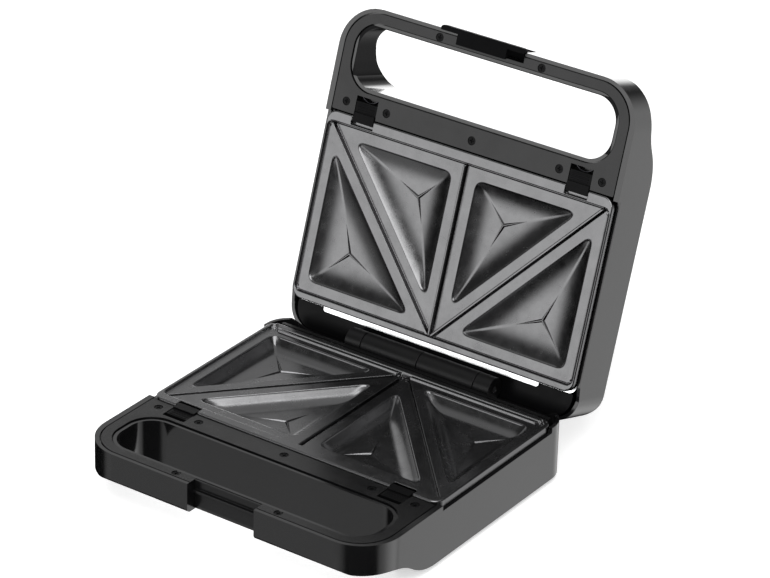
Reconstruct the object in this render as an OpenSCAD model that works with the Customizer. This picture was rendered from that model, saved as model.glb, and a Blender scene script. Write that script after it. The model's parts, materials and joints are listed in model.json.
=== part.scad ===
// Hinged sandwich toaster with four pockets, open at rest.
// Each half is drawn closed and face up, then the lid is mirrored and swung open.
// Half frame: Y zero is the plate's front edge, Z zero is the plane where the halves meet.

/* [Body] */
// Overall width of both moulded halves
body_width = 241; // [226:1:262]
// Thickness of the moulded walls
wall = 2.5; // [2:0.1:3]
// Depth of each half from the meeting plane
body_depth = 41.5; // [40:0.5:48]
// Depth of each half at the carrying handle
handle_depth = 23.5; // [22:0.5:28]
// Reach of the handle in front of the plates
handle_reach = 77; // [72:0.5:84]
// Radius of the front corners seen from above
front_corner = 31; // [24:1:36]
// Radius of the rear corners seen from above
rear_corner = 20; // [14:1:24]
// Length of the base behind the plate
base_tail = 16.5; // [16:0.1:18]
// Length of the lid behind the plate
lid_tail = 23.7; // [23:0.1:26]
// Radius of the lower edges of each moulding
edge_radius = 3.5; // [2:0.5:6]
// Radius of the lid's rear top edge
lid_rear_radius = 12; // [6:1:16]
// Where the underside starts to deepen, in front of the plate
sweep_start = 59; // [52:1:62]
// Where the underside reaches full depth, in front of the plate
sweep_end = 5; // [2:1:12]
// Width of the visible lip round the trim
rim_lip = 4.2; // [3.5:0.1:6]
// Drop of the side walls below the meeting plane
side_drop = 5; // [4:0.5:7]

/* [Carrying handle] */
// Width of the handle's side posts
side_post = 15.5; // [14:0.5:24]
// Width of the handle's front bar
front_bar = 13; // [12:0.5:14]
// Rear edge of the hand opening, ahead of the plate
grip_rear = 20.5; // [19:0.5:24]
// Corner radius of the hand opening
grip_corner = 17; // [12:1:20]
// Thickness of the wall round the hand opening
grip_wall = 2.4; // [2:0.1:3]

/* [Trim frame] */
// Height of the trim surface behind the meeting plane
trim_drop = 1.3; // [1:0.1:2]
// Thickness of the trim
trim_thickness = 3; // [2.5:0.1:4]
// Slit between trim and neighbouring pieces
trim_gap = 0.8; // [0.3:0.05:0.9]
// Width of the latch notch
notch_width = 54; // [48:1:60]
// Thickness of the wall behind the latch notch
notch_back = 4; // [3.6:0.1:5]

/* [Cooking plates] */
// Distance between the side of a plate and the side of the body
plate_margin = 3; // [2.8:0.1:5]
// Depth of each plate from front to rear
plate_length = 136.3; // [132:0.1:136.5]
// Corner radius of each plate
plate_corner = 8; // [5:0.5:12]
// Height of the plate's side skirt
skirt_height = 6.3; // [5.5:0.1:7]
// Thickness of the cast plate
plate_thickness = 2.6; // [2:0.1:3.2]
// Width of the rim round the plate
plate_rim = 3; // [2:0.25:4]
// Drop of the base plate's land below its rim
base_land = 1.8; // [1.4:0.1:2.4]
// Drop of the lid plate's land behind the meeting plane
lid_land = 1.6; // [1.2:0.1:2.2]
// Height left between the lid plate's rim and the meeting plane
lid_rim_gap = 0.3; // [0.2:0.05:0.6]
// Width of the sealing ridges and grooves
seal_width = 3.2; // [2.8:0.2:4.4]
// Depth of the grooves below the base plate's land
groove_depth = 2.4; // [1.6:0.1:2.8]
// Reach of the lid ridges past the meeting plane
ridge_reach = 2; // [1.6:0.1:2.6]
// Depth of the base pockets below the land
base_pocket = 9; // [7:0.5:11]
// Depth of the lid pockets behind the land
lid_pocket = 5.4; // [4:0.2:8]
// Height of the three-armed marks on the pocket floors
mark_height = 0.8; // [0.5:0.1:1.2]

/* [Hinge] */
// Distance of the hinge axis behind the plate
hinge_tail = 14.44; // [14:0.02:15.5]
// Drop of the hinge axis below the meeting plane
hinge_drop = 1.38; // [0.5:0.1:2.5]
// Opening angle of the lid at rest
lid_angle = 107.84; // [95:1:115]
// Radius of the hinge barrel
barrel_radius = 8.5; // [7.5:0.1:9]
// Half the length of the hinge barrel
barrel_half = 60; // [50:1:80]
// Length of each outer knuckle
knuckle_length = 13; // [8:1:20]
// Radius of the steel hinge pin
pin_radius = 2.5; // [2:0.1:3.5]
// Running clearance round pins
pin_clearance = 0.05; // [0.03:0.01:0.08]

/* [Plate release clips] */
// Distance of the clips from the side of the body
clip_inset = 32.5; // [30:0.5:40]
// Width of each clip
clip_width = 17.4; // [14:0.2:19]
// Travel of each clip
clip_travel = 3.4; // [3:0.1:3.6]
// Reach of the clip over the plate
clip_lip = 4; // [3.75:0.25:5]

/* [Latch] */
// Half the width of the latch's tip bar
latch_half = 34; // [29:0.1:38]
// Reach of the latch past the meeting plane
latch_reach = 12.3; // [12:0.1:14]
// Thickness of the latch's tip bar
latch_face = 3.6; // [3:0.1:4]
// Half the width of the latch's hook
hook_half = 20; // [10:0.5:24]

/* [Heating] */
// Radius of the tubular heating element
heater_radius = 3.2; // [2.8:0.1:3.6]
// Space between the heat reflector and the outside of the body
reflector_room = 14.5; // [13.5:0.5:17]
// Thickness of the reflector sheet
reflector_sheet = 0.8; // [0.5:0.1:1.2]

/* [Fasteners, feet and cord entry] */
// Radius of the trim screw heads
screw_head = 2.9; // [2.5:0.1:3.3]
// Radius of the trim screw shanks
screw_shank = 1.4; // [1.2:0.1:1.6]
// Radius of the rubber feet
foot_radius = 8; // [6:0.5:10]
// Height of the rubber feet
foot_height = 4; // [3:0.5:6]
// Radius of the cord entry in its bush
cord_radius = 3.4; // [3:0.1:3.8]

/* [Hidden] */
$fn = 64;

// Outlines that follow from the body and the plates
plate_width = body_width - 2 * plate_margin;
base_length = plate_length + base_tail;
lid_length = plate_length + lid_tail;
hinge_reach = plate_length + hinge_tail;
grip_width = body_width - 2 * side_post;
grip_front = handle_reach - front_bar;
notch_wall = grip_front + notch_back;
clip_offset = body_width / 2 - clip_inset;

// Stack height and the shift that centres the open toaster over the origin
plane_height = body_depth + foot_height;
lid_edge_y = -(handle_reach - edge_radius) - hinge_reach;
lid_edge_z = handle_depth - edge_radius + hinge_drop;
far_reach = hinge_reach + cos(lid_angle) * lid_edge_y + sin(lid_angle) * lid_edge_z + edge_radius;
centre_shift = (far_reach - handle_reach) / 2;

// Swept underside: two equal tangent arcs
sweep_run = sweep_start - sweep_end;
sweep_fall = body_depth - handle_depth;
sweep_arc = (sweep_run * sweep_run + sweep_fall * sweep_fall) / (4 * sweep_fall);
sweep_lean = 0.4;

// Heights inside each half
trim_top = -trim_drop;
trim_base = -trim_drop - trim_thickness;
ledge_depth = 2.7;
ledge_width = 1.6;
seat_top = -skirt_height - reflector_sheet;
floor_top = -body_depth + wall;
cut = 1;
joint_gap = 0.3;

// Trim outline and screw places
trim_half = body_width / 2 - rim_lip - trim_gap;
trim_front = handle_reach - wall - trim_gap;
trim_rear = 0.8;
screws_rear_y = -8.2;
screws_front_y = -grip_front - 6;
screw_corner = body_width / 2 - side_post;
screw_inner = clip_offset - 17;
screw_front = notch_width / 2 + 14.5;
screw_places = [[-screw_corner, screws_rear_y], [-screw_inner, screws_rear_y], [0, screws_rear_y],
    [screw_inner, screws_rear_y], [screw_corner, screws_rear_y], [-screw_front, screws_front_y],
    [screw_front, screws_front_y]];
boss_radius = screw_shank + 2;
screw_length = 15;
head_height = 1.6;
head_sink = 0.4;

// Plate layout
apex = [0, plate_length - 4.3];
toe = [plate_width / 2 - 5.5, 8];
diagonal = toe - apex;
diagonal_length = norm(diagonal);
across = [-diagonal[1], diagonal[0]] / diagonal_length;
diagonal_offset = across * apex;
pocket_margin = 8.5;
pocket_side = plate_width / 2 - 10;
pocket_rear = plate_length - 13.3;
pocket_inner = 9.7;
pocket_front = 16.4;
pocket_wall_angle = 48;
pocket_fillet = 12;
fillet_steps = 6;
floor_fall = 0.05;
rear_rim = 4.8;
front_rim = 7.3;
pad_drop = 3.6;

// Hinge parts
knuckle_inner = barrel_half - knuckle_length;
base_bar_front = plate_length + 2.5;
base_bar_rear = hinge_reach - barrel_radius - 0.6;
base_bar_half = body_width / 2 - 8.5;
post_start = plate_length - 6.3;
bar_floor = -hinge_drop - barrel_radius - joint_gap;
bar_sheet = 2;
lid_bar_top = -8;
lid_bar_sheet = 2.5;
lid_bar_rear = lid_length - wall - joint_gap;
base_rear_drop = hinge_drop + barrel_radius + 0.8;

// Latch parts
latch_axis_y = 3 - handle_reach;
latch_axis_z = -8;
lid_notch_depth = 17;
latch_pin_radius = 1.5;
keeper_top = -7.7;
keeper_reach = notch_wall + 4;
tip_front = -handle_reach - 1 - latch_face;
tip_depth = 3.4;
tongue_half = notch_width / 2 - 0.8;
hook_thickness = 2.3;
hook_end = 1.2 - keeper_reach;

// Heating parts
reflector_depth = body_depth - reflector_room;
heater_z = -base_land - base_pocket - plate_thickness - 4;
heater_stub = 4;
heater_half = plate_width / 2 - 47.5;
heater_front = 34;
heater_rear = plate_length - 12.3;
heater_bend = 16;
pan_half = plate_width / 2 - 6.7;
pan_front = 6.5;
pan_rear = plate_length - 5.3;
sensor_y = plate_length / 2 + 3.85;
strip_half = plate_width / 2 - 27.5;
strip_shift = -2;
strip_corner = 1.9;
thermostat_radius = 8.5;
thermostat_height = 8.4;
thermostat_base = -skirt_height - joint_gap - thermostat_height;
fuse_radius = 3;
fuse_z = -lid_land - plate_thickness - joint_gap - fuse_radius;

// Pillars, feet, lamps and cord entry
pillar_rows = [12, plate_length / 2 + 1.85, plate_length - 10.3];
foot_x = body_width / 2 - 28.5;
foot_rows = [12, plate_length - 10.3];
lamp_x = 9;
lamp_y = 20;
lamp_radius = 4;
lamp_block = [40, 14, 8];
terminal_x = 24;
terminal_y = plate_length - 16.3;
cord_x = body_width / 2 - 42.5;
cord_z = -29;

// Clip parts
clip_side_gap = 0.3;
tray_depth = 8.3;
tray_front = 14.5;
tray_wall = 1.5;
clip_back = clip_travel - tray_front + joint_gap;
spring_sheet = 0.4;

black_plastic = [0.08, 0.08, 0.085];
gloss_shell = [0.16, 0.16, 0.17];
trim_grey = [0.3, 0.3, 0.31];
coated = [0.25, 0.25, 0.26];
bright = [0.85, 0.86, 0.87];
steel = [0.6, 0.6, 0.62];

function unit(v) = v / norm(v);

module place_base() {
  translate([0, -centre_shift, plane_height]) children();
}

module place_lid() {
  place_base()
    translate([0, hinge_reach, -hinge_drop])
      rotate([-lid_angle, 0, 0])
        translate([0, -hinge_reach, hinge_drop])
          mirror([0, 0, 1]) children();
}

module extrude_across(width) {
  translate([-width / 2, 0, 0]) rotate([90, 0, 90]) linear_extrude(width) children();
}

module both_sides() {
  children();
  mirror([1, 0, 0]) children();
}

module corner_cut(r) {
  translate([-cut, -cut]) difference() {
    square(r + cut);
    translate([r + cut, r + cut]) circle(r);
  }
}

module plan(half, front, rear, front_r, rear_r) {
  difference() {
    translate([-half, front]) square([2 * half, rear - front]);
    translate([-half, front]) corner_cut(front_r);
    translate([half, front]) mirror([1, 0]) corner_cut(front_r);
    translate([-half, rear]) mirror([0, 1]) corner_cut(rear_r);
    translate([half, rear]) mirror([1, 0]) mirror([0, 1]) corner_cut(rear_r);
  }
}

module slab(low, high) {
  translate([0, 0, low]) linear_extrude(high - low) children();
}

module side_profile(rear, rear_r, inset, top) {
  front = -handle_reach + inset;
  low_front = -handle_depth + inset;
  low_rear = -body_depth + inset;
  start = -sweep_start + sweep_lean * inset;
  end = -sweep_end + sweep_lean * inset;
  meet = [(start + end) / 2, (low_front + low_rear) / 2];
  difference() {
    union() {
      polygon([[front, top], [front, low_front], [start, low_front], meet,
        [end, low_rear], [rear - inset, low_rear], [rear - inset, top]]);
      intersection() {
        translate([end, low_rear + sweep_arc]) circle(sweep_arc);
        translate([meet[0], low_rear]) square([end - meet[0], meet[1] - low_rear]);
      }
    }
    intersection() {
      translate([start, low_front - sweep_arc]) circle(sweep_arc);
      translate([start, meet[1]]) square([meet[0] - start, low_front - meet[1]]);
    }
    translate([front, low_front]) corner_cut(max(edge_radius - inset, 0.6));
    translate([rear - inset, low_rear]) mirror([1, 0]) corner_cut(max(rear_r - inset, 0.6));
  }
}

module half_solid(rear, rear_r, inset, top) {
  intersection() {
    slab(-body_depth - cut, top)
      plan(body_width / 2 - inset, -handle_reach + inset, rear - inset,
        front_corner - inset, rear_corner - inset);
    extrude_across(body_width) side_profile(rear, rear_r, inset, top);
  }
}

module grip_plan(grow) {
  plan(grip_width / 2 + grow, -grip_front - grow, -grip_rear + grow,
    grip_corner + grow, grip_corner + grow);
}

module lip_plan(width) {
  difference() {
    plan(body_width / 2 - 0.4, -handle_reach + 0.4, trim_rear + 40, front_corner, 1);
    plan(body_width / 2 - width, -handle_reach + width - rim_lip + wall, trim_rear + 50,
      front_corner - width, 1);
    translate([-body_width, 1.5]) square([2 * body_width, 100]);
  }
}

module shell_inside(pillar_top, rear) {
  slab(-body_depth, trim_top - cut) grip_plan(grip_wall);
  slab(trim_base - ledge_depth, trim_base) grip_plan(grip_wall + ledge_width);
  slab(trim_base - ledge_depth, trim_top) lip_plan(rim_lip);
  slab(trim_base - ledge_depth, trim_base) lip_plan(rim_lip + ledge_width);
  for (p = screw_places)
    translate([p[0], p[1], -body_depth]) cylinder(r = boss_radius, h = body_depth + trim_base);
  both_sides() {
    for (y = pillar_rows)
      translate([body_width / 2 - wall - 2.5, y, -body_depth]) cylinder(r = 4.5, h = body_depth + seat_top);
    translate([foot_x, rear - 7, -body_depth]) cylinder(r = 4, h = body_depth + pillar_top);
    translate([notch_width / 2, -handle_reach, -body_depth])
      cube([wall, handle_reach - notch_wall + 2, body_depth + trim_base]);
  }
  translate([-notch_width / 2 - wall, -notch_wall, -body_depth])
    cube([notch_width + 2 * wall, notch_wall - grip_front, body_depth + trim_base]);
}

module rear_cut(rear, drop, half_top, half_low) {
  translate([0, rear + cut, 0]) rotate([90, 0, 0])
    linear_extrude(rear + cut - base_bar_rear - joint_gap)
      polygon([[-half_top, cut], [-half_top, trim_top], [-half_low, -drop], [half_low, -drop],
        [half_top, trim_top], [half_top, cut]]);
}

module half_shell(rear, rear_r, pillar_top, rear_rim_drop, cut_half_top, cut_half_low, rim_end) {
  difference() {
    union() {
      difference() {
        half_solid(rear, rear_r, 0, trim_top);
        half_solid(rear, rear_r, wall, cut);
      }
      intersection() {
        half_solid(rear, rear_r, 0.4, trim_top);
        shell_inside(pillar_top, rear);
      }
    }
    slab(-body_depth - cut, cut) grip_plan(0);
    slab(-side_drop, cut) translate([-body_width, 1.5]) square([2 * body_width, rim_end - 1.5]);
    rear_cut(rear, rear_rim_drop, cut_half_top, cut_half_low);
    for (p = screw_places)
      translate([p[0], p[1], trim_base - screw_length]) cylinder(r = screw_shank + pin_clearance, h = 2 * screw_length);
  }
}

module base_shell() {
  color(gloss_shell) place_base() difference() {
    half_shell(base_length, edge_radius + 1.5, bar_floor - bar_sheet, base_rear_drop, base_bar_half - 1,
      base_bar_half - 16, post_start);
    translate([-notch_width / 2, -handle_reach - cut, -body_depth])
      cube([notch_width, handle_reach + cut - notch_wall, body_depth + cut]);
    both_sides() {
      for (y = foot_rows)
        translate([foot_x, y, -body_depth - cut]) cylinder(r = foot_radius / 3 + 0.2, h = wall + 2 * cut);
    }
    translate([cord_x, base_length - wall - cut, cord_z])
      rotate([-90, 0, 0]) cylinder(r = cord_radius + 2.1, h = wall + 2 * cut);
  }
}

module lid_shell() {
  color(gloss_shell) place_lid() difference() {
    half_shell(lid_length, lid_rear_radius, lid_bar_top - lid_bar_sheet, -lid_bar_top,
      body_width, body_width, lid_length + cut);
    extrude_across(2 * body_width)
      polygon([[post_start, cut], [post_start, -side_drop], [base_bar_rear + joint_gap, lid_bar_top],
        [lid_length, lid_bar_top], [lid_length, cut]]);
    translate([-notch_width / 2, -handle_reach - cut, -lid_notch_depth])
      cube([notch_width, handle_reach + cut - notch_wall, lid_notch_depth + cut]);
    translate([0, latch_axis_y, latch_axis_z]) rotate([0, 90, 0])
      cylinder(r = latch_pin_radius + pin_clearance, h = notch_width + 2 * wall + cut, center = true);
    for (x = [-lamp_x, lamp_x])
      translate([x, lamp_y, -body_depth - cut]) cylinder(r = lamp_radius + joint_gap, h = wall + 2 * cut);
  }
}

module trim_plan(notch_y) {
  difference() {
    plan(trim_half, -trim_front, -trim_rear, front_corner - rim_lip, 1);
    grip_plan(grip_wall + trim_gap);
    translate([-notch_width / 2, -handle_reach]) square([notch_width, handle_reach - notch_y]);
    both_sides() translate([clip_offset - clip_width / 2 - clip_side_gap, -tray_front])
      square([clip_width + 2 * clip_side_gap, tray_front]);
  }
}

module trim(notch_y) {
  tray_half = clip_width / 2 + clip_side_gap;
  difference() {
    union() {
      slab(trim_base, trim_top) trim_plan(notch_y);
      both_sides() difference() {
        translate([clip_offset - tray_half - tray_wall, -tray_front - tray_wall, -tray_depth - tray_wall])
          cube([2 * (tray_half + tray_wall), tray_front + tray_wall - trim_rear,
            tray_depth + tray_wall + trim_base]);
        translate([clip_offset - tray_half, -tray_front, -tray_depth])
          cube([2 * tray_half, tray_front, tray_depth]);
      }
    }
    for (p = screw_places) {
      translate([p[0], p[1], trim_top - head_sink - head_height])
        cylinder(r = screw_head + 0.2, h = head_height + head_sink + cut);
      translate([p[0], p[1], trim_base - cut])
        cylinder(r = screw_shank + pin_clearance, h = trim_thickness + cut);
    }
  }
}

module base_trim() {
  color(trim_grey) place_base() trim(notch_wall - 0.4);
}

module lid_trim() {
  color(trim_grey) place_lid() trim(notch_wall + 1.5);
}

module trim_screws() {
  for (p = screw_places)
    translate([p[0], p[1], trim_top - head_sink - head_height]) difference() {
      union() {
        cylinder(r = screw_head, h = head_height);
        translate([0, 0, 0.2 - screw_length]) cylinder(r = screw_shank, h = screw_length);
      }
      for (a = [0, 90])
        rotate([0, 0, a]) translate([-1.6, -0.35, head_height - 1]) cube([3.2, 0.7, 2]);
    }
}

module base_screws() {
  color(black_plastic) place_base() trim_screws();
}

module lid_screws() {
  color(black_plastic) place_lid() trim_screws();
}

function pocket_lines(outer) = outer
  ? [[[1, 0], pocket_side], [[0, 1], pocket_rear], [-across, -diagonal_offset - pocket_margin]]
  : [[[-1, 0], -pocket_inner], [[0, -1], -pocket_front], [across, diagonal_offset - pocket_margin]];

function meeting(a, b) =
  let (det = a[0][0] * b[0][1] - a[0][1] * b[0][0])
  [(a[1] * b[0][1] - b[1] * a[0][1]) / det, (a[0][0] * b[1] - b[0][0] * a[1]) / det];

function corners(lines) =
  [meeting(lines[0], lines[1]), meeting(lines[1], lines[2]), meeting(lines[2], lines[0])];

function incentre(p) =
  let (a = norm(p[1] - p[2]), b = norm(p[2] - p[0]), c = norm(p[0] - p[1]))
  (a * p[0] + b * p[1] + c * p[2]) / (a + b + c);

function inradius(p) =
  let (a = norm(p[1] - p[2]), b = norm(p[2] - p[0]), c = norm(p[0] - p[1]), s = (a + b + c) / 2)
  sqrt((s - a) * (s - b) * (s - c) / s);

function half_angle(at, one, two) = acos(unit(one - at) * unit(two - at)) / 2;

module rounded_triangle(p, radii) {
  n = [1, 2, 0];
  m = [2, 0, 1];
  ends = [for (i = [0:2]) let (t = radii[i] / tan(half_angle(p[i], p[n[i]], p[m[i]])))
    [p[i] + t * unit(p[m[i]] - p[i]), p[i] + t * unit(p[n[i]] - p[i])]];
  polygon([ends[0][0], ends[0][1], ends[1][0], ends[1][1], ends[2][0], ends[2][1]]);
  for (i = [0:2]) {
    way = unit(unit(p[n[i]] - p[i]) + unit(p[m[i]] - p[i]));
    translate(p[i] + way * radii[i] / sin(half_angle(p[i], p[n[i]], p[m[i]]))) circle(radii[i]);
  }
}

module trough(line, depth, reach, grow) {
  floor_angle = atan(floor_fall);
  turn_angle = pocket_wall_angle - floor_angle;
  foot = (depth - floor_fall * reach) / (tan(pocket_wall_angle) - floor_fall);
  foot_z = -foot * tan(pocket_wall_angle);
  back = pocket_fillet * tan(turn_angle / 2);
  low = [foot, foot_z];
  first = low - back * [cos(pocket_wall_angle), -sin(pocket_wall_angle)];
  second = low + back * [cos(floor_angle), -sin(floor_angle)];
  hub = first + pocket_fillet * [sin(pocket_wall_angle), cos(pocket_wall_angle)];
  far = plate_length;
  run = plate_length + 15;
  lift = 6;
  spot = line[0] * line[1];
  shift = grow * tan(pocket_wall_angle / 2);
  translate([spot[0], spot[1], 0])
    rotate([0, 0, atan2(-line[0][1], -line[0][0])])
      rotate([90, 0, 0])
        translate([-shift, 0, -run])
          linear_extrude(2 * run)
            polygon(concat([[-lift / tan(pocket_wall_angle), lift]],
              [for (k = [0.5 : fillet_steps - 0.5]) hub + pocket_fillet / cos(turn_angle / fillet_steps / 2)
                * [-sin(pocket_wall_angle - k * turn_angle / fillet_steps),
                  -cos(pocket_wall_angle - k * turn_angle / fillet_steps)]],
              [[far, foot_z - floor_fall * (far - foot)], [far, lift]]));
}

module pocket(outer, land, depth, grow) {
  lines = pocket_lines(outer);
  p = corners(lines);
  reach = inradius(p);
  grown = [for (l = lines) [l[0], l[1] + grow + 0.15]];
  radii = [6, 3, 3] + [grow, grow, grow];
  intersection() {
    slab(-land - depth - 2 * grow - 5, grow > 0 ? -land - 0.5 : cut)
      rounded_triangle(corners(grown), radii);
    translate([0, 0, -land - grow]) intersection() {
      trough(lines[0], depth, reach, grow);
      trough(lines[1], depth, reach, grow);
      trough(lines[2], depth, reach, grow);
    }
  }
}

module mark(outer, land, depth) {
  p = corners(pocket_lines(outer));
  c = incentre(p);
  floor_z = -land - depth;
  translate([c[0], c[1], floor_z - 0.6])
    for (q = p)
      rotate([0, 0, atan2(q[1] - c[1], q[0] - c[0])])
        linear_extrude(mark_height + 0.8)
          polygon([[-0.6, -0.8], [-0.6, 0.8], [21, 0.25], [21, -0.25]]);
}

module strip(from, to, low, high, wide_low, wide_high) {
  way = to - from;
  translate([from[0], from[1], 0])
    rotate([0, 0, atan2(way[1], way[0])])
      rotate([90, 0, 90])
        linear_extrude(norm(way))
          polygon([[-wide_low / 2, low], [wide_low / 2, low], [wide_high / 2, high],
            [-wide_high / 2, high]]);
}

module seal_lines(low, high, wide_low, wide_high) {
  both_sides() {
    strip(apex + unit(diagonal) * -3, toe + unit(diagonal) * 4, low, high, wide_low, wide_high);
  }
  strip([0, 3], [0, apex[1] + 2], low, high, wide_low, wide_high);
}

module plate_plan(inset) {
  plan(plate_width / 2 - inset, inset, plate_length - inset, plate_corner - inset,
    plate_corner - inset);
}

module land_plan() {
  plan(plate_width / 2 - plate_rim, front_rim, plate_length - rear_rim, 5, 5);
}

module plate_blank(land, depth, rim_top, ribbed) {
  difference() {
    slab(-skirt_height, rim_top) plate_plan(0);
    slab(-skirt_height - cut, -land - plate_thickness) plate_plan(plate_thickness);
    slab(-land, cut) land_plan();
  }
  for (outer = [false, true])
    both_sides() pocket(outer, land, depth, plate_thickness);
  intersection() {
    slab(-skirt_height, -land - 0.5) plate_plan(plate_thickness - 0.5);
    union() {
      if (ribbed) seal_lines(-skirt_height, -land - 0.5, 8, 9);
      both_sides()
        translate([clip_offset - clip_width / 2 - 2.5, 0, -skirt_height])
          cube([clip_width + 5, clip_lip + 4, skirt_height - land - 0.5]);
    }
  }
}

module plate_cuts(land, depth) {
  for (outer = [false, true])
    both_sides() pocket(outer, land, depth, 0);
  both_sides()
    translate([clip_offset - clip_width / 2 - 0.4, -cut, -pad_drop])
      cube([clip_width + 0.8, clip_lip + cut + 0.4, pad_drop + cut]);
  both_sides()
    translate([clip_offset - clip_width / 2 - 0.4, -cut, -skirt_height - cut])
      cube([clip_width + 0.8, clip_lip - clip_travel + cut + 0.3, skirt_height + 2 * cut]);
}

module base_plate() {
  color(coated) place_base() {
    difference() {
      plate_blank(base_land, base_pocket, 0, true);
      plate_cuts(base_land, base_pocket);
      intersection() {
        slab(-10, cut) plate_plan(plate_rim + 0.5);
        seal_lines(-base_land - groove_depth, cut, seal_width * 0.4,
          seal_width * 0.4 + seal_width * 0.6 * (base_land + groove_depth + cut) / groove_depth);
      }
    }
    for (outer = [false, true])
      both_sides() mark(outer, base_land, base_pocket);
  }
}

module lid_plate() {
  color(coated) place_lid() {
    difference() {
      plate_blank(lid_land, lid_pocket, -lid_rim_gap, false);
      plate_cuts(lid_land, lid_pocket);
    }
    intersection() {
      slab(-10, 10) land_plan();
      seal_lines(-lid_land - 0.5, ridge_reach, seal_width, seal_width * 0.35);
    }
    for (outer = [false, true])
      both_sides() mark(outer, lid_land, lid_pocket);
  }
}

module clip(side) {
  low = 0.3 - tray_depth;
  translate([side * clip_offset - clip_width / 2, 0, 0]) {
    translate([0, clip_back, low]) cube([clip_width, -clip_back, trim_top - 0.3 - low]);
    translate([0, -3, 0.3 - pad_drop]) cube([clip_width, 3 + clip_lip, pad_drop - 0.6]);
    translate([0, -3, low]) cube([clip_width, 3 - joint_gap, 4]);
    for (k = [0 : 2])
      translate([2, clip_back + 1.2 + 2.2 * k, trim_top - 1]) cube([clip_width - 4, 1, 1]);
  }
}

module clip_spring(side) {
  room = tray_front + clip_back;
  chord = clip_width / 2 - 1.5;
  bow = room - 0.1;
  bend = (chord * chord + bow * bow) / (2 * bow);
  translate([side * clip_offset, clip_back - bend - 0.05, 0.5 - tray_depth])
    linear_extrude(3) intersection() {
      difference() {
        circle(bend);
        circle(bend - spring_sheet);
      }
      translate([-chord, bend - bow + 0.05]) square([2 * chord, bow]);
    }
}

module base_clip_left() {
  color(black_plastic) place_base() clip(-1);
}

module base_clip_right() {
  color(black_plastic) place_base() clip(1);
}

module base_clip_spring_left() {
  color(steel) place_base() clip_spring(-1);
}

module base_clip_spring_right() {
  color(steel) place_base() clip_spring(1);
}

module lid_clip_left() {
  color(black_plastic) place_lid() clip(-1);
}

module lid_clip_right() {
  color(black_plastic) place_lid() clip(1);
}

module lid_clip_spring_left() {
  color(steel) place_lid() clip_spring(-1);
}

module lid_clip_spring_right() {
  color(steel) place_lid() clip_spring(1);
}

module reflector(rear, post_top, strip_rear) {
  sheet = reflector_sheet;
  difference() {
    union() {
      slab(-skirt_height - sheet, -skirt_height) plan(plate_width / 2 - 0.3, 0.5, rear, 8, 6);
      slab(-skirt_height - sheet, -skirt_height) translate([strip_shift, 0])
        plan(strip_half, plate_length - 6, strip_rear, 1, strip_corner);
      slab(-reflector_depth, -skirt_height) plan(pan_half, pan_front, pan_rear, 9, 9);
    }
    slab(-reflector_depth + sheet, cut)
      plan(pan_half - sheet, pan_front + sheet, pan_rear - sheet, 9 - sheet, 9 - sheet);
  }
  both_sides() {
    for (y = [heater_front + 26, heater_rear - 24])
      translate([heater_half - 5, y - 4, -reflector_depth + sheet / 2])
        cube([10, 8, heater_z - heater_radius + reflector_depth - sheet / 2]);
  }
  translate([0, sensor_y, -reflector_depth + sheet / 2])
    cylinder(r = 4, h = post_top + reflector_depth - sheet / 2);
}

module base_reflector() {
  color(bright) place_base() reflector(base_bar_front - joint_gap, thermostat_base, plate_length - 2);
}

module lid_reflector() {
  color(bright) place_lid() reflector(plate_length + 1.4, fuse_z - fuse_radius, plate_length + 4.6);
}

module heater() {
  both_sides() {
    translate([heater_half, heater_front + heater_bend, heater_z]) rotate([-90, 0, 0])
      cylinder(r = heater_radius, h = heater_rear - heater_front - heater_bend);
    translate([heater_half - heater_bend, heater_front + heater_bend, heater_z])
      rotate([0, 0, -90]) rotate_extrude(angle = 90)
        translate([heater_bend, 0]) circle(heater_radius);
    translate([heater_half, heater_rear - 1, heater_z]) rotate([-90, 0, 0])
      cylinder(r = heater_radius * 0.4, h = heater_stub + 1);
  }
  translate([0, heater_front, heater_z]) rotate([0, 90, 0])
    cylinder(r = heater_radius, h = 2 * (heater_half - heater_bend), center = true);
}

module base_heater() {
  color(steel) place_base() heater();
}

module lid_heater() {
  color(steel) place_lid() heater();
}

module base_thermostat() {
  color(steel) place_base() translate([0, sensor_y, thermostat_base]) {
    cylinder(r = thermostat_radius, h = thermostat_height - 2.8);
    cylinder(r = thermostat_radius - 2, h = thermostat_height);
    both_sides() translate([7.5, -2, 1.5]) cube([5, 4, 0.8]);
  }
}

module thermal_fuse() {
  color(steel) place_lid() translate([0, sensor_y, fuse_z]) rotate([90, 0, 0]) {
    cylinder(r = fuse_radius, h = 20, center = true);
    cylinder(r = 0.8, h = 34, center = true);
  }
}

module terminal_block() {
  color([0.9, 0.9, 0.86]) place_base() translate([terminal_x, terminal_y, floor_top]) difference() {
    cube([34, 14, 9]);
    for (k = [0 : 2]) {
      translate([6 + 11 * k, 7, 4]) cylinder(r = 2, h = 6);
      translate([6 + 11 * k, -1, 4]) rotate([-90, 0, 0]) cylinder(r = 1.6, h = 16);
    }
  }
}

module base_feet() {
  color(black_plastic) place_base() both_sides() {
    for (y = foot_rows)
      translate([foot_x, y, -body_depth - foot_height]) {
        cylinder(r = foot_radius, h = foot_height);
        cylinder(r = foot_radius / 3, h = foot_height + wall);
      }
  }
}

module cord_bush() {
  sleeve = cord_radius + 1.8;
  color(black_plastic) place_base() translate([cord_x, base_length, cord_z]) rotate([-90, 0, 0]) difference() {
    union() {
      translate([0, 0, -6]) cylinder(r = sleeve, h = 8);
      cylinder(r = sleeve + 2.2, h = 2.4);
      translate([0, 0, -wall - 2.4]) cylinder(r = sleeve + 2.2, h = 2.4);
    }
    translate([0, 0, -10]) cylinder(r = cord_radius, h = 20);
  }
}

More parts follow.
